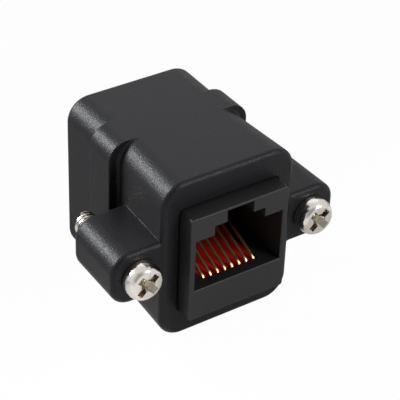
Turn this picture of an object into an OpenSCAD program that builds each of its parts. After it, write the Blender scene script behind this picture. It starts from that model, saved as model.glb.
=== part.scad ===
// Panel-mount eight-way modular coupler: two sockets back to back on a small circuit
// board, held in one moulded body with a screw ear on each side.
// The origin is on the underside, below the middle of the circuit board.
// +Z is up, the panel side faces -Y and the two screws lie along X.

/* [Socket] */
// Width of the plug opening
plug_w = 12.0; // [11:0.1:13]
// Height of the plug opening below the latch steps
plug_h = 7.0; // [6.4:0.1:8]
// Width of the lower latch step
latch_w = 6.9; // [6.2:0.1:8]
// Height of the lower latch step
latch_h = 1.25; // [0.8:0.05:1.6]
// Width of the upper latch step
tab_w = 3.6; // [3.2:0.1:4.6]
// Height of the upper latch step
tab_h = 1.55; // [1.2:0.05:2.2]
// Thickness of the ledge that the plug's latch snaps behind
catch_t = 1.5; // [1:0.1:2.5]
// Length of one socket shell
jack_l = 12.15; // [11:0.05:14]
// Side wall of a socket shell
jack_wall = 0.7; // [0.5:0.05:1.2]
// Wall of a socket shell over the latch
jack_top_t = 0.35; // [0.3:0.05:0.8]
// Height of the plug opening above the underside of the shell
jack_floor_t = 4.15; // [3.8:0.05:5]
// Wall that closes the latch steps at the back of a socket shell
jack_back_t = 1.0; // [0.8:0.1:1.5]
// Wall under the contact carrier
jack_base_t = 1.2; // [0.8:0.1:1.5]
// Strip of floor between the mouth and the contact carrier
jack_lip_t = 1.5; // [1.2:0.1:2.5]
// Radius of the shell's long edges
jack_corner_r = 0.4; // [0.2:0.05:0.6]

/* [Contacts] */
// Number of contacts in each socket
contact_count = 8; // [4:2:8]
// Distance between neighbouring contacts
contact_pitch = 1.016; // [0.95:0.002:1.1]
// Width of a contact strip
contact_w = 0.36; // [0.3:0.01:0.5]
// Thickness of a contact strip
contact_t = 0.32; // [0.25:0.01:0.35]
// Angle at which the free end of a contact rises from the floor
contact_rise = 23; // [15:1:26]
// Radius of the contact's turn round the nose of the carrier
nose_r = 0.5; // [0.45:0.01:0.6]
// Straight end of a contact, lying in the comb
contact_end_l = 0.6; // [0.4:0.05:0.8]
// Height between the two rows of solder tails
tail_row_gap = 1.27; // [1.1:0.01:1.3]
// Depth of a solder tail in the circuit board
tail_l = 1.0; // [0.6:0.05:1.1]
// Radius of the bend where the free end of a contact levels out
end_r = 1; // [0.6:0.1:1.5]
// Radius of the two bends down to the lower row of tails
jog_r = 0.35; // [0.3:0.05:0.4]
// Distance from the board to the first of these bends
jog_start = 0.5; // [0.3:0.05:0.6]

/* [Contact carrier] */
// Plastic left outside the outermost contacts
carrier_margin = 0.2; // [0.1:0.01:0.6]
// Thickness of the upright comb at the back of a socket
comb_t = 1.3; // [1:0.05:1.8]
// Depth of the comb's grooves
comb_groove_t = 0.8; // [0.6:0.05:0.9]
// How far the comb's grooves reach down below the free ends of the contacts
comb_groove_drop = 1.5; // [1:0.1:2]

/* [Circuit board] */
// Thickness of the circuit board
board_t = 1.2; // [1.2:0.1:1.6]
// How far the board's edge stands out of the shells, into the body
board_lip = 0.7; // [0.4:0.05:0.9]

/* [Moulded body] */
// How far the panel-side socket stands out of the body
jack_proud = 2.25; // [1:0.05:3]
// How far the cable-side socket stands out of the body
rear_proud = 1.25; // [0.2:0.05:2]
// Body wall above and below the sockets
cover_t = 3.65; // [2:0.05:4.5]
// Body wall beside the socket at the front face
front_wall = 2.35; // [1.8:0.05:3.5]
// Body wall beside the socket where the front block meets the rib
waist_wall = 1.75; // [1.3:0.05:2.5]
// Body wall beside the socket at the rib
rib_wall = 2.95; // [2.3:0.05:4]
// Body wall beside the socket where the rear block leaves the rib
shoulder_wall = 2.1; // [1.4:0.05:2.3]
// Body wall beside the socket at the rear face
rear_wall = 2.2; // [1.2:0.05:2.5]
// Length of the front block, up to the rib
front_l = 10.6; // [10:0.1:13]
// Length of the rib
rib_l = 4.5; // [3:0.1:6]
// Radius of the long edges of the front and rear blocks
corner_r = 3.0; // [1.5:0.1:4]
// Radius of the rib's corners
rib_corner_r = 2.4; // [1.5:0.1:3]
// Radius round the front and rear faces
edge_r = 0.4; // [0.2:0.05:0.8]
// Radius on the two ends of the rib
rib_edge_r = 0.2; // [0.1:0.05:0.4]

/* [Screw ears] */
// Height of an ear, whose outer side is half round about the screw
ear_h = 7.0; // [6.4:0.1:8]
// Length of an ear along the screw
ear_l = 9.0; // [7:0.05:10.5]
// How far the ears lie behind the front face
ear_setback = 0.2; // [0.1:0.05:0.6]
// How much the outer side of an ear draws in towards the rear
ear_draft = 0.2; // [0:0.05:0.8]

/* [Screws] */
// Outside diameter of the screw
screw_d = 3.0; // [2.5:0.1:3.2]
// Length of the screw below its head
screw_l = 12.5; // [11:0.5:16]
// Chamfer on the end of the screw
screw_tip = 0.35; // [0.2:0.05:0.6]
// Diameter of the pan head
head_d = 4.9; // [4.6:0.1:5.6]
// Height of the pan head
head_h = 2.0; // [1.6:0.05:2.4]
// Diameter of the flat on top of the head
head_flat_d = 3.7; // [3.2:0.1:4]
// Height of the head's rounded rim
head_crown_h = 0.65; // [0.4:0.05:1.3]
// Clear distance from the head to the side of the body
head_gap = 0.5; // [0.3:0.05:1.5]
// Length of the cross recess, tip to tip
recess_l = 3.1; // [2.4:0.1:3.3]
// Width of a wing of the cross recess
recess_w = 0.8; // [0.5:0.05:0.9]
// Depth of the wings of the cross recess
recess_h = 0.9; // [0.5:0.05:1]
// Depth of the point of the cross recess
recess_point_h = 1.5; // [1.2:0.05:1.6]
// Diameter of the cross recess's cone at the top of the head
recess_cone_d = 1.8; // [1.5:0.1:2.2]
// Diameter of the point of the cross recess
recess_point_d = 0.3; // [0.2:0.05:0.5]

/* [Clearances] */
// Between the body and the parts moulded into it
mould_gap = 0.03; // [0.01:0.01:0.1]
// Between a contact carrier and its socket shell
slide_gap = 0.05; // [0.02:0.01:0.1]
// Between a contact and the slots and holes it lies in
contact_gap = 0.03; // [0.02:0.01:0.06]
// Between the free end of a contact and the bottom of its comb groove
end_gap = 0.15; // [0.1:0.01:0.2]
// Between a screw and its hole, on the radius
screw_gap = 0.05; // [0.03:0.01:0.15]

/* [Hidden] */

// Smoothness of turned parts
$fn = 64;
// Segments of a body's long edge and of the radius round a face
corner_steps = 10;
edge_steps = 4;
// Largest turn between two stations of a contact, and between two points of a screw head's rim
bend_step = 13;
crown_step = 15;
// Cutters run this far past the faces that they open
past = 1;

// Socket shell, in heights above the underside of the body
jack_w = plug_w + 2 * jack_wall;
jack_h = jack_floor_t + plug_h + latch_h + tab_h + jack_top_t;
jack_z = cover_t;
floor_z = jack_z + jack_floor_t;
plug_top_z = floor_z + plug_h;
latch_top_z = plug_top_z + latch_h;
tab_top_z = latch_top_z + tab_h;

// Moulded body
body_h = jack_h + 2 * cover_t;
body_l = 2 * jack_l + board_t - jack_proud - rear_proud;
front_y = jack_proud - jack_l - board_t / 2;
rear_y = front_y + body_l;
rib_y = front_y + front_l;
rib_end_y = rib_y + rib_l;
front_w = jack_w + 2 * front_wall;
waist_w = jack_w + 2 * waist_wall;
rib_w = jack_w + 2 * rib_wall;
shoulder_w = jack_w + 2 * shoulder_wall;
rear_w = jack_w + 2 * rear_wall;

// Ears and screws
screw_x = front_w / 2 + head_gap + head_d / 2;
screw_z = body_h / 2;
ear_y = front_y + ear_setback;
// The ears start inside the body's wall, and the front and rear blocks inside the rib
ear_root_x = jack_w / 2 + waist_wall / 2;
rib_root = rib_l / 3;

// Contact carrier and contacts, in distances out from the board's face
carrier_w = (contact_count - 1) * contact_pitch + contact_w + 2 * carrier_margin;
carrier_z = jack_z + jack_base_t + slide_gap;
carrier_end = jack_l - jack_lip_t - slide_gap - contact_t / 2 - nose_r - contact_gap;
nose_turn = 180 - contact_rise;
nose_h = nose_r * (1 - cos(nose_turn));
leg_z = floor_z - nose_h - contact_t / 2;
carrier_top_z = leg_z + nose_h - contact_t / 2 / cos(contact_rise) - contact_gap;
comb_top_z = plug_top_z - slide_gap;
comb_w = plug_w - 2 * slide_gap;
contact_end = comb_t - comb_groove_t + end_gap;
contact_run_l = (
    carrier_end + nose_r * sin(nose_turn) - end_r * sin(contact_rise) - contact_end_l - contact_end
) / cos(contact_rise);
spring_h = contact_run_l * sin(contact_rise) + end_r * (1 - cos(contact_rise));
comb_groove_z = leg_z + nose_h + spring_h - comb_groove_drop;
slot_w = contact_w + 2 * contact_gap;
slot_t = contact_t + 2 * contact_gap;

// Circuit board
board_w = jack_w + 2 * board_lip;
board_h = jack_h + 2 * board_lip;
board_z = jack_z - board_lip;
board_hole_d = sqrt(contact_w * contact_w + contact_t * contact_t) + 2 * contact_gap;

// Colours
body_black = "#2c2c2e";
jack_black = "#303032";
carrier_red = "#8c1016";
contact_gold = "#d8b65a";
board_green = "#1f5a36";
screw_nickel = "#d6d4ce";

// Sideways place of contact k of a socket
function contact_x(k) = (k - (contact_count + 1) / 2) * contact_pitch;

// Every second contact has its tail in the lower row
function tail_drop(k) = k % 2 == 0 ? tail_row_gap : 0;

// Points of a rectangle from z = 0 up, centred on x, with rounded corners
function rounded_rect(w, h, r, steps) = [
    for (corner = [0:3], i = [0:steps])
        let (
            a = 90 * (corner + i / steps),
            cx = (corner == 0 || corner == 3 ? 1 : -1) * (w / 2 - r),
            cz = corner < 2 ? h - r : r
        )
        [cx + r * cos(a), cz + r * sin(a)]
];

// Ring of the body at y with corners of radius r, drawn in by inset on every side
function body_ring(y, w, r, inset) = [
    for (p = rounded_rect(w - 2 * inset, body_h - 2 * inset, r - inset, corner_steps))
        [p[0], y, p[1] + inset]
];

// Ring of an ear at y: square where it enters the body, half round about x outside
function ear_ring(y, x, inset) = let (r = ear_h / 2 - inset) concat(
    [[ear_root_x, y, screw_z - r]],
    [for (i = [-corner_steps:corner_steps]) let (a = 90 * i / corner_steps)
        [x + r * cos(a), y, screw_z + r * sin(a)]],
    [[ear_root_x, y, screw_z + r]]
);

// How far a rounded edge of radius r has drawn in, and moved along, at step i
function edge_in(r, i) = r * (1 - sin(90 * i / edge_steps));
function edge_along(r, i) = r * (1 - cos(90 * i / edge_steps));

// Solid through rings of points that have the same number of points each
module loft(rings) {
    n = len(rings[0]);
    last = len(rings) - 1;
    polyhedron(
        points = [for (ring = rings, p = ring) p],
        faces = concat(
            [[for (i = [n - 1:-1:0]) i]],
            [[for (i = [0:n - 1]) last * n + i]],
            [for (k = [0:last - 1], i = [0:n - 1])
                [k * n + i, k * n + (i + 1) % n, (k + 1) * n + (i + 1) % n, (k + 1) * n + i]]
        ),
        convexity = 6
    );
}

// Outline in X and Z, made solid from y0 to y1
module along_y(y0, y1) {
    translate([0, y1, 0]) rotate([90, 0, 0]) linear_extrude(y1 - y0) children();
}

// Block from corner to corner
module block(low, high) {
    translate(low) cube(high - low);
}

// The two ends of the coupler: a piece is drawn out from the board's face along +Y
module at_rear() {
    translate([0, board_t / 2, 0]) children();
}
module at_front() {
    rotate([0, 0, 180]) at_rear() children();
}

// Rings of the body round a face of radius r at y, its edge turning in towards the face
function face_rings(y, w, r, dir) = [
    for (i = [0:edge_steps]) body_ring(y + dir * edge_along(r, i), w, corner_r, edge_in(r, i))
];

// Rings of the rib's end at y, rounded at the sides only because its top is flush
function rib_rings(y, dir) = [
    for (i = [0:edge_steps]) body_ring(
        y + dir * edge_along(rib_edge_r, i), rib_w - 2 * edge_in(rib_edge_r, i), rib_corner_r, 0
    )
];

function reversed(list) = [for (i = [len(list) - 1:-1:0]) list[i]];

// Outside of the body without its ears: front block, rib and rear block, both blocks
// narrowing to the rib
module body_shape() {
    loft(concat(
        face_rings(front_y, front_w, edge_r, 1),
        [body_ring(rib_y, waist_w, corner_r, 0), body_ring(rib_y + rib_root, waist_w, corner_r, 0)]
    ));
    loft(concat(rib_rings(rib_y, 1), reversed(rib_rings(rib_end_y, -1))));
    loft(concat(
        [
            body_ring(rib_end_y - rib_root, shoulder_w, corner_r, 0),
            body_ring(rib_end_y, shoulder_w, corner_r, 0)
        ],
        reversed(face_rings(rear_y, rear_w, edge_r, -1))
    ));
}

// Right ear, drawing in towards the rear
module ear_shape() {
    end_y = ear_y + ear_l;
    loft(concat(
        [for (i = [0:edge_steps])
            ear_ring(ear_y + edge_along(edge_r, i), screw_x, edge_in(edge_r, i))],
        [for (i = [edge_steps:-1:0])
            ear_ring(end_y - edge_along(edge_r, i), screw_x - ear_draft, edge_in(edge_r, i))]
    ));
}

// Outline of a socket shell, grown by gap on every side
module jack_outline(gap) {
    translate([0, jack_z - gap])
        polygon(rounded_rect(jack_w + 2 * gap, jack_h + 2 * gap, jack_corner_r + gap, edge_steps));
}

// Body moulded round the sockets and the board, with the holes for the screws
module moulded_body() {
    color(body_black) difference() {
        union() {
            body_shape();
            ear_shape();
            mirror([1, 0, 0]) ear_shape();
        }
        // Tunnel for the two socket shells
        along_y(front_y - past, rear_y + past) jack_outline(mould_gap);
        // Groove that locks the edge of the circuit board
        block(
            [-board_w / 2 - mould_gap, -board_t / 2 - mould_gap, board_z - mould_gap],
            [board_w / 2 + mould_gap, board_t / 2 + mould_gap, board_z + board_h + mould_gap]
        );
        for (side = [-1, 1])
            translate([side * screw_x, ear_y - past, screw_z])
            rotate([-90, 0, 0])
            cylinder(h = ear_l + 2 * past, d = screw_d + 2 * screw_gap);
    }
}

// Outline of the two latch steps, reaching down into the plug opening
module latch_opening() {
    half = [
        [latch_w / 2, floor_z + past],
        [latch_w / 2, latch_top_z],
        [tab_w / 2, latch_top_z],
        [tab_w / 2, tab_top_z]
    ];
    polygon(concat(half, [for (i = [len(half) - 1:-1:0]) [-half[i][0], half[i][1]]]));
}

// Socket shell: plug opening right through, latch steps closed at the back, room for the latch
// behind its ledge, and a bed below the floor that the carrier slides into from the board
module jack() {
    color(jack_black) difference() {
        along_y(0, jack_l) jack_outline(0);
        block([-plug_w / 2, -past, floor_z], [plug_w / 2, jack_l + past, plug_top_z]);
        along_y(jack_back_t, jack_l + past) latch_opening();
        block(
            [-latch_w / 2, jack_back_t, plug_top_z - past],
            [latch_w / 2, jack_l - catch_t, tab_top_z]
        );
        block(
            [-carrier_w / 2 - slide_gap, -past, carrier_z - slide_gap],
            [carrier_w / 2 + slide_gap, jack_l - jack_lip_t, floor_z + past]
        );
    }
}

// Contact carrier: a sled whose nose the contacts turn round, with an upright comb at the back
module contact_carrier() {
    color(carrier_red) difference() {
        union() {
            block([-carrier_w / 2, 0, carrier_z], [carrier_w / 2, carrier_end, carrier_top_z]);
            block([-comb_w / 2, 0, floor_z + slide_gap], [comb_w / 2, comb_t, comb_top_z]);
            block([-carrier_w / 2, 0, carrier_z], [carrier_w / 2, comb_t, comb_top_z]);
        }
        for (k = [1:contact_count]) translate([contact_x(k), 0, 0]) {
            // Channel for the leg of the contact
            block(
                [-slot_w / 2, -past, leg_z - slot_t / 2],
                [slot_w / 2, carrier_end + past, leg_z + slot_t / 2]
            );
            // Room for the jog down to the lower row of tails
            block(
                [-slot_w / 2, -past, leg_z - tail_drop(k) - slot_t / 2],
                [slot_w / 2, jog_start + 2 * jog_r + slot_t, leg_z]
            );
            // Comb groove that guides the free end
            block(
                [-slot_w / 2, comb_t - comb_groove_t, comb_groove_z],
                [slot_w / 2, comb_t + past, comb_top_z + past]
            );
        }
    }
}

// Stations [out, up, heading] round a turn that starts at station s
function turn_stations(s, turn, r) = let (
    n = ceil(abs(turn) / bend_step),
    side = sign(turn)
) [
    for (i = [1:n]) let (a = s[2] + turn * i / n)
        [s[0] + side * r * (sin(a) - sin(s[2])), s[1] + side * r * (cos(s[2]) - cos(a)), a]
];

// Stations along a strip of [run, turn, radius of the turn] steps, from station s on
function strip_stations(steps, s, i = 0) = let (
    run_end = [s[0] + steps[i][0] * cos(s[2]), s[1] + steps[i][0] * sin(s[2]), s[2]]
) i == len(steps) - 1
    ? [s, run_end]
    : let (
        turn = turn_stations(run_end, steps[i][1], steps[i][2]),
        last = len(turn) - 1
    ) concat([s, run_end], [for (j = [0:last - 1]) turn[j]], strip_stations(steps, turn[last], i + 1));

// Outline of a strip of the contacts' thickness along its stations
module strip(stations) {
    half = contact_t / 2;
    polygon(concat(
        [for (s = stations) [s[0] - half * sin(s[2]), s[1] + half * cos(s[2])]],
        [for (i = [len(stations) - 1:-1:0]) let (s = stations[i])
            [s[0] + half * sin(s[2]), s[1] - half * cos(s[2])]]
    ));
}

// Contact k: tail in the board, leg along the carrier, turn round its nose and the spring
// that rises back to the comb
module contact(k) {
    drop = tail_drop(k);
    jog = drop == 0 ? [] : [[tail_l + jog_start, 90, jog_r], [drop - 2 * jog_r, -90, jog_r]];
    leg_start = drop == 0 ? -tail_l : jog_start + 2 * jog_r;
    steps = concat(jog, [
        [carrier_end - leg_start, nose_turn, nose_r],
        [contact_run_l, contact_rise, end_r],
        [contact_end_l, 0, 0]
    ]);
    color(contact_gold)
        translate([contact_x(k) - contact_w / 2, 0, 0])
        rotate([90, 0, 90])
        linear_extrude(contact_w)
        strip(strip_stations(steps, [-tail_l, leg_z - drop, 0]));
}

// Circuit board with a hole for each solder tail of both sockets
module circuit_board() {
    color(board_green) difference() {
        block([-board_w / 2, -board_t / 2, board_z], [board_w / 2, board_t / 2, board_z + board_h]);
        for (k = [1:contact_count], side = [-1, 1])
            translate([side * contact_x(k), -board_t / 2 - past, leg_z - tail_drop(k)])
            rotate([-90, 0, 0])
            cylinder(h = board_t + 2 * past, d = board_hole_d);
    }
}

// Pan-head screw along Y, its head's underside at the origin
module screw() {
    crown = [
        for (a = [0:crown_step:90])
            [
                head_flat_d / 2 + (head_d - head_flat_d) / 2 * sin(a),
                head_crown_h * (1 - cos(a)) - head_h
            ]
    ];
    rotate([-90, 0, 0]) difference() {
        rotate_extrude() polygon(concat(
            [[0, -head_h]],
            crown,
            [
                [head_d / 2, 0],
                [screw_d / 2, 0],
                [screw_d / 2, screw_l - screw_tip],
                [screw_d / 2 - screw_tip, screw_l],
                [0, screw_l]
            ]
        ));
        for (turn = [0, 90]) rotate([0, 0, turn])
            block(
                [-recess_l / 2, -recess_w / 2, -head_h - past],
                [recess_l / 2, recess_w / 2, recess_h - head_h]
            );
        translate([0, 0, -head_h])
            cylinder(h = recess_point_h, d1 = recess_cone_d, d2 = recess_point_d);
    }
}

// The two panel screws, turned into the ears up to their heads
module mounting_screws() {
    color(screw_nickel)
        for (side = [-1, 1]) translate([side * screw_x, ear_y, screw_z]) screw();
}

moulded_body();
at_front() jack();  // front_jack
at_rear() jack();  // rear_jack
at_front() contact_carrier();  // front_contact_carrier
at_rear() contact_carrier();  // rear_contact_carrier
circuit_board();
mounting_screws();
for (k = [1:contact_count]) {
    at_front() contact(k);
    at_rear() contact(k);
}
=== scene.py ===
"""Panel-mount ethernet coupler: a moulded body round two modular sockets, with two panel screws."""

from math import ceil, cos, pi, radians, sin

import bmesh
import bpy
from bpy.props import FloatProperty, FloatVectorProperty, IntProperty, PointerProperty
from bpy.types import Operator, Panel, PropertyGroup
from mathutils import Matrix, Vector


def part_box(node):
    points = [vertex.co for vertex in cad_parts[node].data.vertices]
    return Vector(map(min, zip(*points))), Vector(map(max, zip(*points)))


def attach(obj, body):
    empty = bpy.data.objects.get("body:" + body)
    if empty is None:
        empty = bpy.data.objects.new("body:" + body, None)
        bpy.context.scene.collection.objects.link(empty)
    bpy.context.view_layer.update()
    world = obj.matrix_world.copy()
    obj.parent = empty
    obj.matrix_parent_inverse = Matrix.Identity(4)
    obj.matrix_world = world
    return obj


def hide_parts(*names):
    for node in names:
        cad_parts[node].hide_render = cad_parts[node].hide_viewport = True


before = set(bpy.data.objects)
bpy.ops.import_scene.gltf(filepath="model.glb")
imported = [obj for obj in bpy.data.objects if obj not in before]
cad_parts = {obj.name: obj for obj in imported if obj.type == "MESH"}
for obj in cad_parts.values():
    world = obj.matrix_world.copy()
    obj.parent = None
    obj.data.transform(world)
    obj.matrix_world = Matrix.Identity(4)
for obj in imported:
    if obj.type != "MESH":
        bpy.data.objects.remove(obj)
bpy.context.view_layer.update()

bl_info = {
    "name": "Panel-mount ethernet coupler",
    "version": (1, 0, 0),
    "blender": (4, 5, 0),
    "location": "View3D > Sidebar > Coupler",
    "description": "Builds a panel-mount ethernet coupler and the stage that it is shown on",
    "category": "Add Mesh",
}

MM = 0.001
# Cutters run this far past the faces that they open
PAST = 1 * MM
# Points closer than this are one point
MERGE = 0.001 * MM
# Faces that meet at less than this angle are shaded as one curve
SMOOTH_ANGLE = radians(32)
# Most of a noise pattern lies between these values
NOISE_RANGE = 0.3, 0.7
# Setting of a node that mixes colours
RGBA = {"data_type": "RGBA"}


# Properties

def linear(hex_colour):
    """Linear colour of an sRGB hex value."""
    channels = [int(hex_colour[i:i + 2], 16) / 255 for i in (1, 3, 5)]
    return tuple(c / 12.92 if c <= 0.04045 else ((c + 0.055) / 1.055) ** 2.4 for c in channels)


def length(name, mm, description):
    """A length property whose default is given in millimetres."""
    return FloatProperty(
        name=name, description=description, default=mm * MM, unit="LENGTH", precision=5
    )


def angle(name, degrees, description):
    """An angle property whose default is given in degrees."""
    return FloatProperty(
        name=name, description=description, default=radians(degrees), unit="ROTATION"
    )


def colour(name, hex_colour, description):
    """A colour property whose default is an sRGB hex value."""
    default = linear(hex_colour)
    return FloatVectorProperty(
        name=name, description=description, default=default, subtype="COLOR", min=0, max=1
    )


class CouplerBody(PropertyGroup):
    """Sizes of the moulded body, whose length and height come from the frame."""

    front_width: length("Front width", 18.1, "Width of the front block at the panel face")
    waist_width: length("Waist width", 16.9, "Width of the front block at the rib")
    rib_width: length("Rib width", 19.3, "Width of the rib")
    shoulder_width: length("Shoulder width", 17.6, "Width of the rear block at the rib")
    rear_width: length("Rear width", 17.8, "Width of the rear block at the rear face")
    rib_start: length("Rib start", 0.1, "Distance of the rib's front end behind the board's middle")
    rib_end: length("Rib end", 4.6, "Distance of the rib's rear end behind the board's middle")
    corner_radius: length("Long edge radius", 3.0, "Radius of the long edges of the two blocks")
    rib_corner_radius: length("Rib corner radius", 2.4, "Radius of the rib's corners")
    edge_radius: length("Face edge radius", 0.7, "Radius round the ends of body and ears")
    rib_edge_radius: length("Rib edge radius", 0.2, "Radius on the two ends of the rib")
    rib_fillet: length("Rib fillet", 0.5, "Radius of the fillets at the foot of the rib's ends")
    ear_height: length("Ear height", 6.9, "Height of a screw ear")
    ear_length: length("Ear length", 9.0, "Length of a screw ear along its screw")
    ear_setback: length("Ear setback", 0.2, "Distance of the ears behind the front face")
    ear_corner_radius: length("Ear corner radius", 2.5, "Radius of the outer corners of an ear")
    ear_draft: length("Ear draft", 0.2, "How much the outer side of an ear draws in to the rear")
    ear_fillet: length("Ear fillet", 0.09, "Radius of the fillet between an ear and the body")
    hole_gap: length("Hole gap", 0.1, "How much wider a screw's hole is than its thread")
    mould_gap: length("Mould gap", 0.03, "Gap between the body and the shells moulded into it")
    tunnel_radius: length("Tunnel edge", 0.3, "Radius round the ends of the shells' tunnel")


class CouplerSocket(PropertyGroup):
    """Sizes of a socket shell, whose outside comes from the frame."""

    plug_width: length("Plug width", 12.0, "Width of the plug opening")
    plug_height: length("Plug height", 7.0, "Height of the plug opening below the latch steps")
    latch_width: length("Latch width", 6.9, "Width of the lower latch step")
    latch_height: length("Latch height", 1.25, "Height of the lower latch step")
    tab_width: length("Tab width", 3.6, "Width of the upper latch step")
    tab_height: length("Tab height", 1.55, "Height of the upper latch step")
    catch_thickness: length("Catch thickness", 1.5, "Ledge that a latch snaps behind")
    back_thickness: length("Back thickness", 1.0, "Wall that closes the latch steps at the back")
    floor_height: length("Floor height", 4.15, "Height of the opening above the underside")
    base_thickness: length("Base thickness", 1.2, "Wall under the contact carrier")
    lip_thickness: length("Lip thickness", 1.5, "Strip of floor between the mouth and the carrier")
    bed_width: length("Bed width", 7.97, "Width of the bed that holds the contact carrier")
    corner_radius: length("Corner radius", 0.4, "Radius of the shell's long edges")
    rim_radius: length("Rim radius", 0.12, "Radius round the outside of the shell's face")
    mouth_radius: length("Mouth radius", 0.16, "Radius round the edge of the plug opening")


class CouplerContacts(PropertyGroup):
    """Sizes of the spring contacts."""

    count: IntProperty(name="Count", description="Contacts in each socket", default=8, min=2)
    pitch: length("Pitch", 1.016, "Distance between neighbouring contacts")
    width: length("Width", 0.38, "Width of a contact strip")
    thickness: length("Thickness", 0.32, "Thickness of a contact strip")
    edge_radius: length("Edge radius", 0.12, "Radius of a strip's rolled edges")
    rise: angle("Rise", 22.2, "Angle at which a spring rises from the floor")
    bow: angle("Bow", 35, "Angle through which a spring bends gently behind its nose")
    bow_radius: length("Bow radius", 1.1, "Radius of the gentle bend behind the nose")
    nose_out: length("Nose", 9.91, "Distance from the board to the turn round the carrier's nose")
    nose_radius: length("Nose radius", 0.5, "Radius of the turn round the carrier's nose")
    end_radius: length("End radius", 1.0, "Radius of the bend where the free end levels out")
    end_length: length("End length", 0.6, "Straight free end, lying in the comb")
    end_out: length("Free end", 0.65, "Distance from the board to the free end")
    tail_length: length("Tail length", 1.0, "Depth of a solder tail in the circuit board")
    tail_row_gap: length("Tail row gap", 1.27, "Height between the two rows of solder tails")
    jog_out: length("Jog", 0.5, "Distance from the board to the bend down to the lower row")
    jog_radius: length("Jog radius", 0.35, "Radius of the two bends down to the lower row")


class CouplerScrews(PropertyGroup):
    """Sizes of the panel screws, whose height and ends come from the frame."""

    spacing: length("Spacing", 24.0, "Distance between the two screws")
    head_diameter: length("Head diameter", 4.7, "Diameter of the pan head")
    head_height: length("Head height", 2.0, "Height of the pan head")
    head_flat: length("Head flat", 3.4, "Diameter of the flat on top of the head")
    crown_height: length("Crown height", 1.3, "Height of the head's rounded rim")
    seat_radius: length("Seat radius", 0.18, "Radius at the head's underside")
    thread_diameter: length("Thread diameter", 3.0, "Outside diameter of the thread")
    thread_pitch: length("Thread pitch", 0.5, "Distance between neighbouring turns of the thread")
    thread_depth: length("Thread depth", 0.31, "Depth of the thread")
    tip: length("Tip", 0.35, "Chamfer on the end of the screw")
    recess_length: length("Recess length", 3.1, "Length of the cross recess, tip to tip")
    recess_width: length("Recess width", 0.9, "Width of a wing of the cross recess")
    recess_depth: length("Recess depth", 1.0, "Depth of the wings of the cross recess")
    recess_turn: angle("Recess turn", 47, "Angle at which the screws came to rest")
    cone_diameter: length("Cone diameter", 1.8, "Diameter of the recess's cone at its top")
    point_diameter: length("Point diameter", 0.3, "Diameter of the recess's point")
    point_depth: length("Point depth", 1.5, "Depth of the recess's point")


class CouplerColours(PropertyGroup):
    """Colours of the finishes."""

    body: colour("Body", "#19191b", "Black of the moulded body")
    shell: colour("Shell", "#151517", "Black of the socket shells")
    carrier: colour("Carrier", "#b8060e", "Red of the contact carriers")
    gold: colour("Gold", "#e8cd88", "Gold plate of the contacts")
    nickel: colour("Nickel", "#e6e1d8", "Nickel plate of the screws")
    # Painted shade in part: the recess colour is darker than the nickel, partly for its thin plate
    recess: colour("Recess", "#d0c8b8", "Thin plate in the recess of the screws")
    board: colour("Board", "#1c5a34", "Green solder mask of the circuit board")
    floor: colour("Floor", "#d8d8d8", "Pale floor")


# Materials

def add(tree, kind, settings=None, *first, **links):
    """Add a node, set its properties and its sockets, and link what comes from other nodes.

    The first inputs are given in order, the others by their socket's name, with _ for a space.
    Each takes a value, an output socket, or a node, which stands for its first output."""
    node = tree.nodes.new(kind)
    for name, value in (settings or {}).items():
        setattr(node, name, value)
    given = list(zip((socket for socket in node.inputs if socket.enabled), first))
    given += [(node.inputs[name.replace("_", " ")], value) for name, value in links.items()]
    for socket, value in given:
        if isinstance(value, bpy.types.Node):
            value = next(output for output in value.outputs if output.enabled)
        if isinstance(value, bpy.types.NodeSocket):
            tree.links.new(value, socket)
        else:
            socket.default_value = value
    return node


def empty_tree(owner):
    """The node tree of a material or a world, emptied."""
    owner.use_nodes = True
    owner.node_tree.nodes.clear()
    return owner.node_tree


def new_material(name, *patterns, stretch=None):
    """A material, its node tree, and noise on Object coordinates for each pattern, which is the
    width of its grains in millimetres and its detail."""
    material = bpy.data.materials.new(name)
    tree = empty_tree(material)
    place = add(tree, "ShaderNodeTexCoord").outputs["Object"]
    if stretch:
        place = add(tree, "ShaderNodeMapping", Vector=place, Scale=stretch)
    noises = [
        add(tree, "ShaderNodeTexNoise", Vector=place, Scale=1 / (width * MM), Detail=detail)
        for width, detail in patterns
    ]
    return material, tree, *noises


def tones(paint, *shares):
    """The paint's colour, darker or lighter by each share."""
    return [[min(1, c * share) for c in paint] + [1] for share in shares]


def finished(material, shade, rough, bump=None, **sockets):
    """End a material in its shader and return it: a shade, a pattern whose roughness goes from low
    to high, a pattern whose bumps have a strength and a height in millimetres, and even values."""
    tree = material.node_tree
    pattern, *limits = rough
    sockets["Roughness"] = add(tree, "ShaderNodeMapRange", None, pattern, *NOISE_RANGE, *limits)
    if bump:
        pattern, strength, height = bump
        sockets["Normal"] = add(
            tree, "ShaderNodeBump", Strength=strength, Distance=height * MM, Height=pattern
        )
    shader = add(tree, "ShaderNodeBsdfPrincipled", Base_Color=shade, **sockets)
    add(tree, "ShaderNodeOutputMaterial", Surface=shader)
    return material


def grained_abs(paint):
    """Black ABS moulded in a spark-eroded tool: a dry satin skin of fine bumps that glints
    where an edge turns through the light, and hides on the flats."""
    # The grain is about 0.1 mm wide, drawn at 0.16 mm to show in the render
    material, tree, grain, flow = new_material("grained ABS, moulded", (0.16, 1), (6, 2))
    shade = add(tree, "ShaderNodeMix", RGBA, flow, *tones(paint, 0.9, 1.1))
    return finished(
        material, shade, (grain, 0.33, 0.43), (grain, 1.0, 0.045),
        IOR=1.5, Specular_IOR_Level=0.18, Specular_Tint=(0.93, 0.95, 1, 1),
    )


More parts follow.
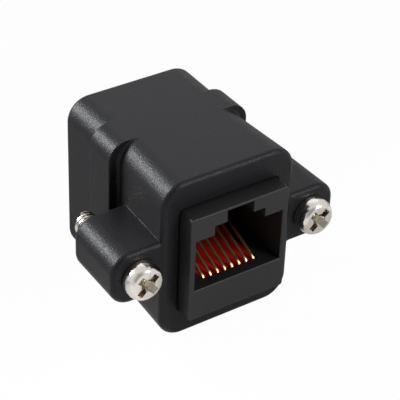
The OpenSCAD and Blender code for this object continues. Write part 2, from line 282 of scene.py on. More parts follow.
def satin_abs(paint):
    """Black ABS moulded in a stoned tool: a smooth satin face with faint flow marks."""
    material, tree, stoned, flow = new_material("satin ABS, moulded", (0.25, 2), (4, 2))
    shade = add(tree, "ShaderNodeMix", RGBA, flow, *tones(paint, 0.92, 1.08))
    return finished(
        material, shade, (flow, 0.46, 0.54), (stoned, 0.08, 0.01), IOR=1.5, Specular_IOR_Level=0.44
    )


def red_pbt(paint):
    """Red glass-filled PBT: an even deep colour with a slightly mottled, dull skin."""
    material, tree, fibres = new_material("glass-filled PBT, moulded", (0.3, 3))
    shade = add(tree, "ShaderNodeMix", RGBA, fibres, *tones(paint, 0.94, 1.05))
    return finished(material, shade, (fibres, 0.5, 0.62), (fibres, 0.12, 0.01), IOR=1.55)


def gold_plate(paint):
    """Gold plate over drawn phosphor bronze: a warm bright metal with fine draw lines along it."""
    # Draw lines 0.05 mm apart across the strip run along the spring
    material, tree, lines = new_material(
        "gold-plated phosphor bronze, drawn", (0.05, 2), stretch=(1, 0.04, 0.04)
    )
    shade = add(tree, "ShaderNodeMix", RGBA, lines, *tones(paint, 0.96, 1.0))
    return finished(material, shade, (lines, 0.26, 0.34), Metallic=1.0)


def nickel_plate(paint, recess_plate_and_shade_paint):
    """Bright nickel over a cold-headed steel screw: a mirror with soft dents from tumbling, and
    in the recess a darker brownish colour, partly thin plate that barrel plating hardly reaches
    and partly painted shade."""
    material, tree, dents, scuffs = new_material(
        "nickel-plated steel, cold headed", (0.8, 2), (0.12, 3)
    )
    bright = add(tree, "ShaderNodeMix", RGBA, dents, *tones(paint, 0.9, 1.06))
    # Painted shade: the recess gets a darker, browner colour, partly for its thin plate
    thin_plate_and_shade = add(tree, "ShaderNodeMix", RGBA, scuffs, *tones(recess_plate_and_shade_paint, 0.5, 1.3))
    recess = add(tree, "ShaderNodeAttribute", {"attribute_name": "recess"}).outputs["Fac"]
    shade = add(tree, "ShaderNodeMix", RGBA, recess, bright, thin_plate_and_shade)
    return finished(material, shade, (scuffs, 0.11, 0.2), (dents, 0.8, 0.08), Metallic=1.0)


def solder_mask(paint):
    """Solder mask over glass laminate: glossy green with the weave of the glass just showing."""
    material, tree, weave = new_material("solder mask on glass laminate", (0.5, 2))
    shade = add(tree, "ShaderNodeMix", RGBA, weave, *tones(paint, 0.85, 1.1))
    return finished(material, shade, (weave, 0.25, 0.35), (weave, 0.15, 0.01), IOR=1.5)


# Mesh building

def quarter_turn(steps):
    """Angles of a quarter turn, from its start to its end."""
    return [pi / 2 * i / steps for i in range(steps + 1)]


def full_turn(steps):
    """Angles of a full turn, without the last, which is the first again."""
    return [2 * pi * i / steps for i in range(steps)]


def rounded_rect(width, height, radius, steps):
    """Points of a rectangle in x and z, from z = 0 up and centred on x, with rounded corners."""
    points = []
    for corner in range(4):
        centre_x = (width / 2 - radius) * (1 if corner in (0, 3) else -1)
        centre_z = height - radius if corner < 2 else radius
        for turn in quarter_turn(steps):
            a = pi / 2 * corner + turn
            points.append((centre_x + radius * cos(a), centre_z + radius * sin(a)))
    return points


def edge_steps(radius, steps):
    """How far a rounded edge has drawn in, and moved along, at each of its steps."""
    return [(radius * (1 - sin(a)), radius * (1 - cos(a))) for a in quarter_turn(steps)]


def ring_at(outline, y):
    """An outline in x and z, as a ring of points at y."""
    return [Vector((x, y, z)) for x, z in outline]


def in_scene(name, data):
    """A scene object that holds the data."""
    thing = bpy.data.objects.new(name, data)
    bpy.context.scene.collection.objects.link(thing)
    return thing


def new_object(name, mesh):
    """A scene object that holds the bmesh."""
    data = bpy.data.meshes.new(name)
    mesh.to_mesh(data)
    mesh.free()
    return in_scene(name, data)


def lofted(name, rings):
    """A closed solid through rings that have the same number of points each."""
    mesh = bmesh.new()
    loops = [[mesh.verts.new(p) for p in ring] for ring in rings]
    count = len(loops[0])
    for near, far in zip(loops, loops[1:]):
        for i in range(count):
            j = (i + 1) % count
            mesh.faces.new((near[i], near[j], far[j], far[i]))
    mesh.faces.new(loops[0])
    mesh.faces.new(loops[-1])
    bmesh.ops.recalc_face_normals(mesh, faces=mesh.faces)
    return new_object(name, mesh)


def block(name, width, ends, heights):
    """A box centred on x, from the first to the second of its two ends in y and heights in z."""
    half, (low, high) = width / 2, heights
    outline = [(-half, low), (half, low), (half, high), (-half, high)]
    return lofted(name, [ring_at(outline, y) for y in ends])


def settle(piece):
    """Turn a piece and its modifiers into a plain mesh."""
    graph = bpy.context.evaluated_depsgraph_get()
    mesh = bpy.data.meshes.new_from_object(piece.evaluated_get(graph))
    old = piece.data
    piece.modifiers.clear()
    piece.data = mesh
    mesh.name = piece.name
    bpy.data.meshes.remove(old)


def combine(piece, operation, tools):
    """Add tools to a piece, or cut them out of it."""
    for tool in tools:
        step = piece.modifiers.new(operation, "BOOLEAN")
        step.operation = operation
        step.object = tool
        step.solver = "EXACT"
    settle(piece)
    for tool in tools:
        mesh = tool.data
        bpy.data.objects.remove(tool)
        bpy.data.meshes.remove(mesh)


def smooth(piece):
    """Shade a piece smooth over its rounded edges, with the flats kept flat."""
    mesh = piece.data
    mesh.polygons.foreach_set("use_smooth", [True] * len(mesh.polygons))
    mesh.set_sharp_from_angle(angle=SMOOTH_ANGLE)
    flats = piece.modifiers.new("flats", "WEIGHTED_NORMAL")
    flats.keep_sharp = True
    flats.weight = 100
    settle(piece)


def dress(piece, material, slot, *nodes):
    """Give a piece its material and its place in the frame."""
    piece.data.materials.clear()
    piece.data.materials.append(material)
    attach(piece, "root")
    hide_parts(*nodes)


def dress_nodes(material, *nodes):
    """Give a material to nodes of the frame that keep their own shape."""
    for name in nodes:
        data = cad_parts[name].data
        data.materials.clear()
        data.materials.append(material)


# Geometry trees

def new_geometry_tree(name, inputs):
    """A geometry tree with named inputs, and the outputs of its group input."""
    tree = bpy.data.node_groups.new(name, "GeometryNodeTree")
    for label, kind in {"Geometry": "Geometry", **inputs}.items():
        tree.interface.new_socket(label, in_out="INPUT", socket_type="NodeSocket" + kind)
    tree.interface.new_socket("Geometry", in_out="OUTPUT", socket_type="NodeSocketGeometry")
    return tree, add(tree, "NodeGroupInput").outputs


def end_tree(tree, geometry, material):
    """Make the tree's instances real, give them their material and end the tree."""
    real = add(tree, "GeometryNodeRealizeInstances", Geometry=geometry)
    coated = add(tree, "GeometryNodeSetMaterial", Geometry=real, Material=material)
    add(tree, "NodeGroupOutput", Geometry=coated)


def run_tree(piece, tree, values):
    """Run a geometry tree on a piece with the given inputs, and keep its plain mesh."""
    step = piece.modifiers.new(tree.name, "NODES")
    step.node_group = tree
    for item in tree.interface.items_tree:
        if item.in_out == "INPUT" and item.name in values:
            step[item.identifier] = values[item.name]
    settle(piece)


# Operators

class COUPLER_OT_moulded_body(Operator):
    """Loft the body's two blocks, its rib and its ears, and open the tunnel and the screw holes"""

    bl_idname = "coupler.moulded_body"
    bl_label = "Moulded Body"

    corner_steps = 16
    face_steps = 6
    hole_steps = 48

    def ring(self, y, width, radius, inset=0.0):
        """Ring of the body at y with corners of the given radius, drawn in by inset all round."""
        outline = rounded_rect(
            width - 2 * inset, self.height - 2 * inset, radius - inset, self.corner_steps
        )
        return ring_at([(x, z + inset) for x, z in outline], y)

    def block_rings(self, face_y, face_width, end_y, end_width, root_y):
        """Rings of a block from its rounded face, past a fillet, to its root in the rib."""
        towards = 1 if end_y > face_y else -1
        radius = self.sizes.corner_radius
        rings = [
            self.ring(face_y + towards * along, face_width, radius, inset)
            for inset, along in edge_steps(self.sizes.edge_radius, self.face_steps)
        ]
        rings += [
            self.ring(end_y - towards * before, end_width + 2 * out, radius)
            for before, out in edge_steps(self.sizes.rib_fillet, self.face_steps)
        ]
        return rings + [self.ring(root_y, end_width, radius)]

    def rib_rings(self):
        """Rings of the rib, rounded at the sides only because its top is flush."""
        sizes = self.sizes
        steps = edge_steps(sizes.rib_edge_radius, self.face_steps)
        stations = [(sizes.rib_start + along, inset) for inset, along in steps]
        stations += [(sizes.rib_end - along, inset) for inset, along in reversed(steps)]
        return [
            self.ring(y, sizes.rib_width - 2 * inset, sizes.rib_corner_radius)
            for y, inset in stations
        ]

    def side_at(self, y):
        """Half width of the front block at y."""
        sizes = self.sizes
        share = (y - self.front_y) / (sizes.rib_start - self.front_y)
        return (sizes.front_width + share * (sizes.waist_width - sizes.front_width)) / 2

    def ear_ring(self, y, outer_x, inset, root_x):
        """Ring of the right ear at y: a fillet where it leaves the body, round outer corners."""
        fillet = self.sizes.ear_fillet
        half_height = self.sizes.ear_height / 2 - inset
        radius = self.sizes.ear_corner_radius - inset
        centre_x = outer_x - self.sizes.ear_corner_radius
        side = self.side_at(y)
        turn = quarter_turn(self.corner_steps)
        upper = [(root_x, half_height + fillet)]
        # The small fillet needs only every fourth step
        upper += [
            (side + fillet * (1 - cos(a)), half_height + fillet * (1 - sin(a))) for a in turn[::4]
        ]
        upper += [(centre_x + radius * sin(a), half_height - radius * (1 - cos(a))) for a in turn]
        lower = [(x, -z) for x, z in reversed(upper)]
        return ring_at([(x, self.screw_z + z) for x, z in upper + lower], y)

    def ear(self, name, side):
        """One ear, on the side given by 1 or -1."""
        sizes = self.sizes
        root_x = sizes.waist_width / 2 - 2 * sizes.ear_fillet
        steps = edge_steps(sizes.edge_radius, self.face_steps)
        rings = [
            self.ear_ring(self.ear_front + along, self.ear_x, inset, root_x)
            for inset, along in steps
        ]
        rings += [
            self.ear_ring(self.ear_rear - along, self.ear_x - sizes.ear_draft, inset, root_x)
            for inset, along in reversed(steps)
        ]
        return lofted(name, [[Vector((side * p.x, p.y, p.z)) for p in ring] for ring in rings])

    def tunnel_rings(self, rear_y, shell_radius):
        """Rings of the cutter for the shells' tunnel, rounded where it opens in the two faces."""
        low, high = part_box("front_jack")
        widest = self.sizes.tunnel_radius
        steps = edge_steps(widest, self.face_steps)
        stations = [(self.front_y - PAST, widest)]
        stations += [(self.front_y + along, flare) for along, flare in reversed(steps)]
        stations += [(rear_y - along, flare) for along, flare in steps]
        stations += [(rear_y + PAST, widest)]
        rings = []
        for y, flare in stations:
            grow = self.sizes.mould_gap + flare
            width, height = high.x - low.x + 2 * grow, high.z - low.z + 2 * grow
            outline = rounded_rect(width, height, shell_radius + grow, self.face_steps)
            rings.append(ring_at([(x, z + low.z - grow) for x, z in outline], y))
        return rings

    def screw_hole(self, name, x, diameter):
        """Cutter for the hole of a screw."""
        radius = diameter / 2
        turn = full_turn(self.hole_steps)
        outline = [(x + radius * cos(a), self.screw_z + radius * sin(a)) for a in turn]
        ends = self.front_y - PAST, self.ear_rear + PAST
        return lofted(name, [ring_at(outline, y) for y in ends])

    def execute(self, context):
        sizes = self.sizes = context.scene.coupler_body
        low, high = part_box("moulded_body")
        self.height, self.front_y, rear_y, self.ear_x = high.z, low.y, high.y, high.x
        self.ear_front = self.front_y + sizes.ear_setback
        self.ear_rear = self.ear_front + sizes.ear_length
        screws_low, screws_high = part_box("mounting_screws")
        self.screw_z = (screws_low.z + screws_high.z) / 2
        # Each block reaches a third of the way through the rib
        root = (sizes.rib_end - sizes.rib_start) / 3

        body = lofted("moulded_body_skin", self.block_rings(
            self.front_y, sizes.front_width,
            sizes.rib_start, sizes.waist_width, sizes.rib_start + root,
        ))
        rear_block = lofted("rear block", self.block_rings(
            rear_y, sizes.rear_width,
            sizes.rib_end, sizes.shoulder_width, sizes.rib_end - root,
        ))
        rib = lofted("rib", self.rib_rings())
        ears = [self.ear("left ear", -1), self.ear("right ear", 1)]
        combine(body, "UNION", [rib, rear_block] + ears)

        shell_radius = context.scene.coupler_socket.corner_radius
        tunnel = lofted("tunnel", self.tunnel_rings(rear_y, shell_radius))
        screw = context.scene.coupler_screws
        hole = screw.thread_diameter + sizes.hole_gap
        holes = [self.screw_hole("screw hole", side * screw.spacing / 2, hole) for side in (-1, 1)]
        combine(body, "DIFFERENCE", [tunnel] + holes)
        smooth(body)
        dress(body, grained_abs(context.scene.coupler_colours.body), "body_plastic", "moulded_body")
        return {"FINISHED"}


class COUPLER_OT_socket_shells(Operator):
    """Make the two socket shells with their stepped openings, latch rooms and carrier beds"""

    bl_idname = "coupler.socket_shells"
    bl_label = "Socket Shells"

    corner_steps = 6
    rim_steps = 4

    def opening(self, grow):
        """Outline of the stepped plug opening, grown by a distance on every side."""
        sizes = self.sizes
        steps = (
            (sizes.plug_width, self.plug_top),
            (sizes.latch_width, self.plug_top + sizes.latch_height),
            (sizes.tab_width, self.tab_top),
        )
        half = []
        below = self.floor_z - grow
        for width, top in steps:
            half += [(width / 2 + grow, below), (width / 2 + grow, top + grow)]
            below = top + grow
        return half + [(-x, z) for x, z in reversed(half)]

    def shell(self, name, turn):
        """One shell, drawn out from the board along +Y and turned to its end."""
        sizes, size, low_z = self.sizes, self.size, self.low_z
        rim = reversed(edge_steps(sizes.rim_radius, self.rim_steps))
        outer = []
        for inset, out in [(0, 0)] + [(inset, size.y - along) for inset, along in rim]:
            width, height = size.x - 2 * inset, size.z - 2 * inset
            outline = rounded_rect(width, height, sizes.corner_radius - inset, self.corner_steps)
            outer.append(ring_at([(x, z + inset + low_z) for x, z in outline], out))
        shell = lofted(name, outer)

        mouth = [ring_at(self.opening(0), sizes.back_thickness)]
        for inset, along in reversed(edge_steps(sizes.mouth_radius, self.rim_steps)):
            mouth.append(ring_at(self.opening(inset), size.y - along))
        mouth.append(ring_at(self.opening(sizes.mouth_radius), size.y + PAST))
        cutters = [
            lofted("plug opening", mouth),
            block(
                "way for the comb", sizes.plug_width,
                (-PAST, sizes.back_thickness + PAST), (self.floor_z, self.plug_top),
            ),
            block(
                "latch room", sizes.latch_width,
                (sizes.back_thickness, size.y - sizes.catch_thickness),
                (self.plug_top - PAST, self.tab_top),
            ),
            block(
                "carrier bed", sizes.bed_width,
                (-PAST, size.y - sizes.lip_thickness),
                (low_z + sizes.base_thickness, self.floor_z + PAST),
            ),
        ]
        combine(shell, "DIFFERENCE", cutters)
        shell.data.transform(turn @ Matrix.Translation((0, self.board_face, 0)))
        smooth(shell)
        return shell

    def execute(self, context):
        sizes = self.sizes = context.scene.coupler_socket
        low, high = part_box("rear_jack")
        self.size, self.low_z, self.board_face = high - low, low.z, low.y
        self.floor_z = low.z + sizes.floor_height
        self.plug_top = self.floor_z + sizes.plug_height
        self.tab_top = self.plug_top + sizes.latch_height + sizes.tab_height
        material = satin_abs(context.scene.coupler_colours.shell)
        dress(self.shell("rear_shell", Matrix()), material, "jack_plastic", "rear_jack")
        turned = Matrix.Rotation(pi, 4, "Z")
        dress(self.shell("front_shell", turned), material, "jack_plastic", "front_jack")
        return {"FINISHED"}


class COUPLER_OT_contact_carriers(Operator):
    """Finish the red contact carriers, whose combs guide the spring contacts"""

    bl_idname = "coupler.contact_carriers"
    bl_label = "Contact Carriers"

    def execute(self, context):
        material = red_pbt(context.scene.coupler_colours.carrier)
        dress_nodes(material, "front_contact_carrier", "rear_contact_carrier")
        return {"FINISHED"}


class COUPLER_OT_circuit_board(Operator):
    """Finish the circuit board that joins the two sockets"""

    bl_idname = "coupler.circuit_board"
    bl_label = "Circuit Board"

    def execute(self, context):
        dress_nodes(solder_mask(context.scene.coupler_colours.board), "circuit_board")
        return {"FINISHED"}


class COUPLER_OT_spring_contacts(Operator):
    """Sweep the spring contacts along their path and repeat them across each socket"""

    bl_idname = "coupler.spring_contacts"
    bl_label = "Spring Contacts"

    bend_step = radians(8)
    edge_points = 3

    def turn(self, path, heading, angle, radius):
        """Add a turn of the strip to a path of (out, up) points, and return the new heading."""
        out, up = path[-1]
        side = 1 if angle > 0 else -1
        steps = ceil(abs(angle) / self.bend_step)
        for i in range(1, steps + 1):
            now = heading + angle * i / steps
            path.append((
                out + side * radius * (sin(now) - sin(heading)),
                up + side * radius * (cos(heading) - cos(now)),
            ))
        return heading + angle

    def run(self, path, heading, distance):
        """Add a straight run to a path."""
        out, up = path[-1]
        path.append((out + distance * cos(heading), up + distance * sin(heading)))

    def path(self, drop):
        """Path of a contact whose tail lies lower by drop: tail, leg, nose, spring, free end."""
        sizes = self.sizes
        points = [(-sizes.tail_length, self.leg_z - drop)]
        heading = 0.0
        if drop:
            self.run(points, heading, sizes.tail_length + sizes.jog_out)
            heading = self.turn(points, heading, pi / 2, sizes.jog_radius)
            self.run(points, heading, drop - 2 * sizes.jog_radius)
            heading = self.turn(points, heading, -pi / 2, sizes.jog_radius)
        self.run(points, heading, sizes.nose_out - points[-1][0])
        heading = self.turn(points, heading, pi - sizes.rise - sizes.bow, sizes.nose_radius)
        heading = self.turn(points, heading, sizes.bow, sizes.bow_radius)
        level = sizes.end_radius * sin(sizes.rise) + sizes.end_length + sizes.end_out
        self.run(points, heading, (points[-1][0] - level) / cos(sizes.rise))
        heading = self.turn(points, heading, sizes.rise, sizes.end_radius)
        self.run(points, heading, sizes.end_length)
        return points

    def path_object(self, name):
        """The two paths as chains of edges, told apart by an attribute."""
        rows = [self.path(0), self.path(self.sizes.tail_row_gap)]
        points = [(0, self.board_face + out, up) for row in rows for out, up in row]
        first = len(rows[0])
        edges = [(i, i + 1) for i in range(len(points) - 1) if i != first - 1]
        data = bpy.data.meshes.new(name)
        data.from_pydata(points, edges, [])
        lower = data.attributes.new("lower_row", "BOOLEAN", "POINT")
        lower.data.foreach_set("value", [i >= first for i in range(len(points))])
        return in_scene(name, data)

    def tree(self):
        """Geometry tree that sweeps the strip along both paths and sets the rows side by side."""
        tree, given = new_geometry_tree("spring contacts", {
            "Width": "Float", "Thickness": "Float", "Edge Radius": "Float", "Pitch": "Float",
            "Row Count": "Int", "First": "Float", "Turn": "Float", "Material": "Material",
        })
        strip = add(
            tree, "GeometryNodeCurvePrimitiveQuadrilateral",
            Width=given["Width"], Height=given["Thickness"],
        )
        rolled = add(
            tree, "GeometryNodeFilletCurve", {"mode": "POLY"},
            Curve=strip, Radius=given["Edge Radius"], Count=self.edge_points,
        )
        lower = add(
            tree, "GeometryNodeInputNamedAttribute", {"data_type": "BOOLEAN"}, Name="lower_row"
        )
        rows = add(
            tree, "GeometryNodeSeparateGeometry", {"domain": "POINT"},
            Geometry=given["Geometry"], Selection=lower,
        ).outputs
        step = add(tree, "ShaderNodeMath", {"operation": "MULTIPLY"}, given["Pitch"], 2)
        offset = add(tree, "ShaderNodeCombineXYZ", X=step)
        second = add(tree, "ShaderNodeMath", {"operation": "ADD"}, given["First"], given["Pitch"])
        joined = add(tree, "GeometryNodeJoinGeometry")
        for row, start in (("Inverted", given["First"]), ("Selection", second)):
            path = add(tree, "GeometryNodeMeshToCurve", Mesh=rows[row])
            swept = add(
                tree, "GeometryNodeCurveToMesh", Curve=path, Profile_Curve=rolled, Fill_Caps=True
            )
            place = add(tree, "ShaderNodeCombineXYZ", X=start)
            places = add(
                tree, "GeometryNodeMeshLine",
                Count=given["Row Count"], Start_Location=place, Offset=offset,
            )
            repeated = add(tree, "GeometryNodeInstanceOnPoints", Points=places, Instance=swept)
            tree.links.new(repeated.outputs[0], joined.inputs[0])
        turn = add(tree, "ShaderNodeCombineXYZ", Z=given["Turn"])
        turned = add(tree, "GeometryNodeTransform", Geometry=joined, Rotation=turn)
        end_tree(tree, turned, given["Material"])
        return tree

    def execute(self, context):
        sizes = self.sizes = context.scene.coupler_contacts
        self.board_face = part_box("circuit_board")[1].y
        floor_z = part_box("rear_jack")[0].z + context.scene.coupler_socket.floor_height
        nose_height = sizes.nose_radius * (1 + cos(sizes.rise))
        self.leg_z = floor_z - nose_height - sizes.thickness / 2
        material = gold_plate(context.scene.coupler_colours.gold)
        tree = self.tree()
        for end, turn in (("front", pi), ("rear", 0.0)):
            piece = self.path_object(end + "_contacts")
            run_tree(piece, tree, {
                "Width": sizes.width,
                "Thickness": sizes.thickness,
                "Edge Radius": sizes.edge_radius,
                "Pitch": sizes.pitch,
                "Row Count": sizes.count // 2,
                "First": -sizes.pitch * (sizes.count - 1) / 2,
                "Turn": turn,
                "Material": material,
            })
            smooth(piece)
            nodes = [f"{end}_contact_{k}" for k in range(1, sizes.count + 1)]
            dress(piece, material, "contact_gold", *nodes)
        return {"FINISHED"}


class COUPLER_OT_panel_screws(Operator):
    """Turn the pan-head screws, press their cross recess and wind their thread"""

    bl_idname = "coupler.panel_screws"
    bl_label = "Panel Screws"

    around = 64
    crown_steps = 8
    thread_steps = 32
    # Half widths of the thread's ridge at its root and its crest, as shares of the pitch
    root_share, crest_share = 0.45, 0.08
    # Share of a wing's length that is left at the bottom of the recess
    recess_taper = 0.62
    # A face this far below the head's flat lies in the recess
    recess_start = 0.01 * MM

    def profile(self):
        """Half outline of the head and the thread's core, as (radius, distance below the head)."""
        sizes, end = self.sizes, self.shank_length
        head, flat, seat = sizes.head_diameter / 2, sizes.head_flat / 2, sizes.seat_radius
        core = sizes.thread_diameter / 2 - sizes.thread_depth
        turn = quarter_turn(self.crown_steps)
        points = [(0, -sizes.head_height)]
        points += [
            (flat + (head - flat) * sin(a), sizes.crown_height * (1 - cos(a)) - sizes.head_height)
            for a in turn
        ]
        points += [(head - seat * (1 - cos(a)), -seat * (1 - sin(a))) for a in turn]
        points += [(core, 0), (core, end - sizes.tip), (core - sizes.tip, end), (0, end)]
        return points

    def blank(self):
        """Head and core of a screw, turned about Z with the shank upwards."""
        mesh = bmesh.new()
        chain = [mesh.verts.new((r, 0, z)) for r, z in self.profile()]
        edges = [mesh.edges.new(pair) for pair in zip(chain, chain[1:])]
        bmesh.ops.spin(
            mesh, geom=chain + edges,
            cent=(0, 0, 0), axis=(0, 0, 1), angle=2 * pi, steps=self.around,
        )
        bmesh.ops.remove_doubles(mesh, verts=mesh.verts, dist=MERGE)
        bmesh.ops.recalc_face_normals(mesh, faces=mesh.faces)
        return new_object("screw blank", mesh)

    def wing(self, name, turn):
        """Cutter for two opposite wings of the cross recess, narrowing to the bottom."""
        sizes, taper = self.sizes, self.recess_taper
        top, bottom = -sizes.head_height - PAST, sizes.recess_depth - sizes.head_height
        slope = PAST / sizes.recess_depth
        rings = []
        for z, share in ((top, 1 + slope * (1 - taper)), (bottom, taper)):
            half_length = sizes.recess_length / 2 * share
            # The width narrows half as much as the length
            half_width = sizes.recess_width / 2 * (1 + share) / 2
            corners = [(-1, -1), (1, -1), (1, 1), (-1, 1)]
            rings.append([Vector((half_length * i, half_width * j, z)) for i, j in corners])
        cutter = lofted(name, rings)
        cutter.data.transform(Matrix.Rotation(turn, 4, "Z"))
        return cutter

    def cone(self, name):
        """Cutter for the middle of the cross recess, narrowing to its point."""
        sizes = self.sizes
        top, point = sizes.cone_diameter / 2, sizes.point_diameter / 2
        slope = (top - point) / sizes.point_depth
        rings = []
        for depth in (-PAST, sizes.point_depth):
            radius, z = top - slope * depth, depth - sizes.head_height
            turn = full_turn(self.around)
            rings.append([Vector((radius * cos(a), radius * sin(a), z)) for a in turn])
        return lofted(name, rings)

    def mark_recess(self, mesh):
        """Mark the faces of the cross recess, which lie below the head's flat."""
        flat = self.sizes.head_flat / 2
        top, seat = self.recess_start - self.sizes.head_height, -self.sizes.seat_radius
        centres = [face.center for face in mesh.polygons]
        marks = [float(c.xy.length < flat and top < c.z < seat) for c in centres]
        mesh.attributes.new("recess", "FLOAT", "FACE").data.foreach_set("value", marks)

    def tree(self):
        """Geometry tree that winds the thread round a screw's core and repeats the screw."""
        tree, given = new_geometry_tree("panel screws", {
            "Screw": "Object", "Thread Radius": "Float", "Thread Pitch": "Float",
            "Thread Depth": "Float", "Thread Length": "Float", "Spacing": "Float",
            "Place": "Vector", "Material": "Material",
        })
        radius, pitch, depth, reach = (
            given["Thread " + size] for size in ("Radius", "Pitch", "Depth", "Length")
        )
        turns = add(tree, "ShaderNodeMath", {"operation": "DIVIDE"}, reach, pitch)
        helix = add(
            tree, "GeometryNodeCurveSpiral", Resolution=self.thread_steps, Rotations=turns,
            Start_Radius=radius, End_Radius=radius, Height=reach,
        )
        upright = add(tree, "GeometryNodeSetCurveNormal", {"mode": "Z_UP"}, Curve=helix)
        # Ridge of the thread: narrow at the crest, wide at the core, which lies inwards
        root, crest = self.root_share, self.crest_share
        corners = {}
        for inwards, share in ((depth, -root), (0, -crest), (0, crest), (depth, root)):
            along = add(tree, "ShaderNodeMath", {"operation": "MULTIPLY"}, pitch, share)
            corner = add(tree, "ShaderNodeCombineXYZ", X=inwards, Y=along)
            corners[f"Point_{len(corners) + 1}"] = corner
        ridge = add(
            tree, "GeometryNodeCurvePrimitiveQuadrilateral", {"mode": "POINTS"}, **corners
        )
        thread = add(
            tree, "GeometryNodeCurveToMesh", Curve=upright, Profile_Curve=ridge, Fill_Caps=True
        )
        blank = add(tree, "GeometryNodeObjectInfo", Object=given["Screw"])
        whole = add(tree, "GeometryNodeJoinGeometry")
        for part in (blank.outputs["Geometry"], thread.outputs[0]):
            tree.links.new(part, whole.inputs[0])
        laid = add(tree, "GeometryNodeTransform", Geometry=whole, Rotation=(-pi / 2, 0, 0))
        apart = add(tree, "ShaderNodeCombineXYZ", X=given["Spacing"])
        places = add(
            tree, "GeometryNodeMeshLine", Count=2, Start_Location=given["Place"], Offset=apart
        )
        pair = add(tree, "GeometryNodeInstanceOnPoints", Points=places, Instance=laid)
        end_tree(tree, pair, given["Material"])
        return tree

    def execute(self, context):
        sizes = self.sizes = context.scene.coupler_screws
        low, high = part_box("mounting_screws")
        seat_y = low.y + sizes.head_height
        self.shank_length = high.y - seat_y
        blank = self.blank()
        turns = sizes.recess_turn, sizes.recess_turn + pi / 2
        wings = [self.wing("recess wings", turn) for turn in turns]
        combine(blank, "DIFFERENCE", wings + [self.cone("recess cone")])
        self.mark_recess(blank.data)
        colours = context.scene.coupler_colours
        material = nickel_plate(colours.nickel, colours.recess)
        piece = new_object("panel_screws", bmesh.new())
        run_tree(piece, self.tree(), {
            "Screw": blank,
            "Thread Radius": sizes.thread_diameter / 2,
            "Thread Pitch": sizes.thread_pitch,
            "Thread Depth": sizes.thread_depth,
            "Thread Length": self.shank_length - sizes.tip,
            "Spacing": sizes.spacing,
            "Place": (-sizes.spacing / 2, seat_y, (low.z + high.z) / 2),
            "Material": material,
        })
        bpy.data.objects.remove(blank)
        smooth(piece)
        dress(piece, material, "screw_nickel", "mounting_screws")
        return {"FINISHED"}


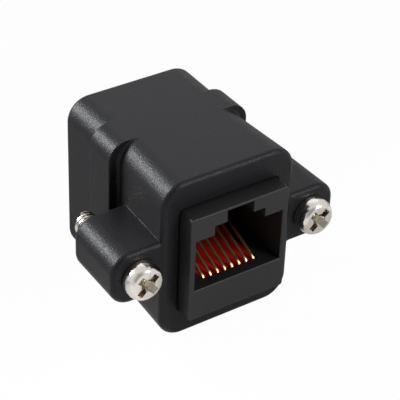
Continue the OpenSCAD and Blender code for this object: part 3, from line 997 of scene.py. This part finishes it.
class COUPLER_OT_stage(Operator):
    """Set the pale floor, the soft studio light and the camera"""

    bl_idname = "coupler.stage"
    bl_label = "Stage"

    camera_azimuth = radians(-35.05)
    camera_elevation = radians(35.30)
    camera_roll = radians(2.27)
    camera_distance = 186.55 * MM
    camera_target = Vector((1.436, -2.494, 11.694)) * MM
    camera_lens = 140.50

    # Name, direction from the object, distance in m, width and height in m, power in W
    lamps = (
        ("edge light", (-0.565, 0.67, 0.481), 0.45, (0.18, 0.18), 3.4),
        ("top light", (0.40, 0.62, 0.68), 0.5, (0.4, 0.4), 0.2),
        ("front light", (0.40, -0.70, 0.59), 0.5, (0.16, 0.3), 1.45),
    )

    # Half the floor's width in m, and how white the camera and mirrors see it
    floor_reach = 1.5
    floor_white = 0.98
    floor_mirrored = 0.3
    # Painted shade: the floor's paint darkens to a share of its shade between these two depths, so
    # mirrors see a grey floor behind
    floor_shade_fall = -15 * MM, 12 * MM
    floor_painted_shade = 0.2

    # Light of the surroundings, and how white mirrors see them, also behind the camera
    world_light = 0.2
    world_mirrored = 0.75
    room_mirrored = 0.2
    # The dark room lies where the cosine to the camera's direction goes between these values
    room_edge = 0.7, 0.95

    def camera_axes(self):
        """Right, up and back of a camera at the photograph's viewing angle."""
        a, e, roll = self.camera_azimuth, self.camera_elevation, self.camera_roll
        back = Vector((sin(a) * cos(e), -cos(a) * cos(e), sin(e)))
        right = Vector((cos(a), sin(a), 0))
        up = back.cross(right)
        return cos(roll) * right + sin(roll) * up, cos(roll) * up - sin(roll) * right, back

    def camera(self, context):
        """Long lens at the photograph's viewing angle."""
        right, up, back = self.camera_axes()
        data = bpy.data.cameras.new("camera")
        data.lens = self.camera_lens
        data.sensor_width = 36
        data.clip_start = 1 * MM
        data.clip_end = 10
        camera = in_scene("camera", data)
        axes = Matrix((right, up, back)).transposed().to_4x4()
        place = self.camera_target + self.camera_distance * back
        camera.matrix_world = Matrix.Translation(place) @ axes
        context.scene.camera = camera

    def lamp(self, name, direction, distance, size, power):
        """Soft box that shines on the object from a direction."""
        data = bpy.data.lights.new(name, "AREA")
        data.shape = "RECTANGLE"
        data.size, data.size_y = size
        data.energy = power
        towards = Vector(direction).normalized()
        axes = towards.to_track_quat("Z", "Y").to_matrix().to_4x4()
        place = self.camera_target + distance * towards
        in_scene(name, data).matrix_world = Matrix.Translation(place) @ axes

    def seen_share(self, tree, share, mirrored):
        """How much of the backdrop a ray shows: a share for the camera, less of it in mirrors and
        glass, and nothing for rays that carry its light."""
        path = add(tree, "ShaderNodeLightPath").outputs
        largest, product = {"operation": "MAXIMUM"}, {"operation": "MULTIPLY"}
        bent = add(
            tree, "ShaderNodeMath", largest, path["Is Glossy Ray"], path["Is Transmission Ray"]
        )
        dimmed = add(tree, "ShaderNodeMath", product, bent, mirrored)
        seen = add(tree, "ShaderNodeMath", largest, path["Is Camera Ray"], dimmed)
        return add(tree, "ShaderNodeMath", product, seen, share)

    def floor(self, context):
        """Pale floor that looks white and keeps a faint shadow, with painted shade that darkens it
        to grey behind.
        """
        material = bpy.data.materials.new("painted board, pale")
        tree = empty_tree(material)
        place = add(tree, "ShaderNodeTexCoord").outputs["Object"]
        depth = add(tree, "ShaderNodeSeparateXYZ", Vector=place).outputs["Y"]
        behind = add(tree, "ShaderNodeMapRange", None, depth, *self.floor_shade_fall)
        # Painted shade: the paint goes from its full shade in front to a dark share behind
        shades = tones(context.scene.coupler_colours.floor, 1.0, self.floor_painted_shade)
        paint = add(
            tree, "ShaderNodeBsdfDiffuse", Color=add(tree, "ShaderNodeMix", RGBA, behind, *shades)
        )
        glow = add(tree, "ShaderNodeEmission", Color=(1, 1, 1, 1), Strength=1.0)
        share = self.seen_share(tree, self.floor_white, self.floor_mirrored)
        mix = add(tree, "ShaderNodeMixShader", None, share, paint, glow)
        add(tree, "ShaderNodeOutputMaterial", Surface=mix)
        mesh = bmesh.new()
        bmesh.ops.create_grid(mesh, x_segments=8, y_segments=8, size=self.floor_reach)
        floor = new_object("floor", mesh)
        floor.data.materials.append(material)

    def world(self, context):
        """White surroundings that light the object at a plain level, with a dark room where the
        camera stands."""
        world = context.scene.world = bpy.data.worlds.new("white studio")
        tree = empty_tree(world)
        light = add(tree, "ShaderNodeBackground", Color=(1, 1, 1, 1), Strength=self.world_light)
        white = add(tree, "ShaderNodeBackground", Color=(1, 1, 1, 1), Strength=1.0)
        place = add(tree, "ShaderNodeTexCoord").outputs["Generated"]
        back = self.camera_axes()[2]
        near = add(tree, "ShaderNodeVectorMath", {"operation": "DOT_PRODUCT"}, place, back)
        mirrored = add(
            tree, "ShaderNodeMapRange", None,
            near, *self.room_edge, self.world_mirrored, self.room_mirrored,
        )
        share = self.seen_share(tree, 1.0, mirrored)
        mix = add(tree, "ShaderNodeMixShader", None, share, light, white)
        add(tree, "ShaderNodeOutputWorld", Surface=mix)

    def execute(self, context):
        context.scene.view_settings.view_transform = "Standard"
        self.floor(context)
        self.world(context)
        for lamp in self.lamps:
            self.lamp(*lamp)
        self.camera(context)
        return {"FINISHED"}


class COUPLER_PT_build(Panel):
    """Sizes, colours and building steps of the coupler"""

    bl_label = "Ethernet Coupler"
    bl_idname = "COUPLER_PT_build"
    bl_space_type = "VIEW_3D"
    bl_region_type = "UI"
    bl_category = "Coupler"

    def draw(self, context):
        for operator in OPERATORS:
            self.layout.operator(operator.bl_idname)
        for name, group in SETTINGS.items():
            box = self.layout.box()
            box.label(text=group.__doc__.split(".")[0].split(",")[0])
            for field in group.__annotations__:
                box.prop(getattr(context.scene, name), field)


SETTINGS = {
    "coupler_body": CouplerBody,
    "coupler_socket": CouplerSocket,
    "coupler_contacts": CouplerContacts,
    "coupler_screws": CouplerScrews,
    "coupler_colours": CouplerColours,
}
OPERATORS = (
    COUPLER_OT_stage,
    COUPLER_OT_moulded_body,
    COUPLER_OT_socket_shells,
    COUPLER_OT_contact_carriers,
    COUPLER_OT_circuit_board,
    COUPLER_OT_spring_contacts,
    COUPLER_OT_panel_screws,
)
CLASSES = (*SETTINGS.values(), *OPERATORS, COUPLER_PT_build)


def register():
    for part in CLASSES:
        bpy.utils.register_class(part)
    for name, group in SETTINGS.items():
        setattr(bpy.types.Scene, name, PointerProperty(type=group))


def unregister():
    for name in SETTINGS:
        delattr(bpy.types.Scene, name)
    for part in reversed(CLASSES):
        bpy.utils.unregister_class(part)


def main():
    register()
    bpy.ops.coupler.stage()
    bpy.ops.coupler.moulded_body()
    bpy.ops.coupler.socket_shells()
    bpy.ops.coupler.contact_carriers()
    bpy.ops.coupler.circuit_board()
    bpy.ops.coupler.spring_contacts()
    bpy.ops.coupler.panel_screws()


if __name__ == "__main__":
    main()
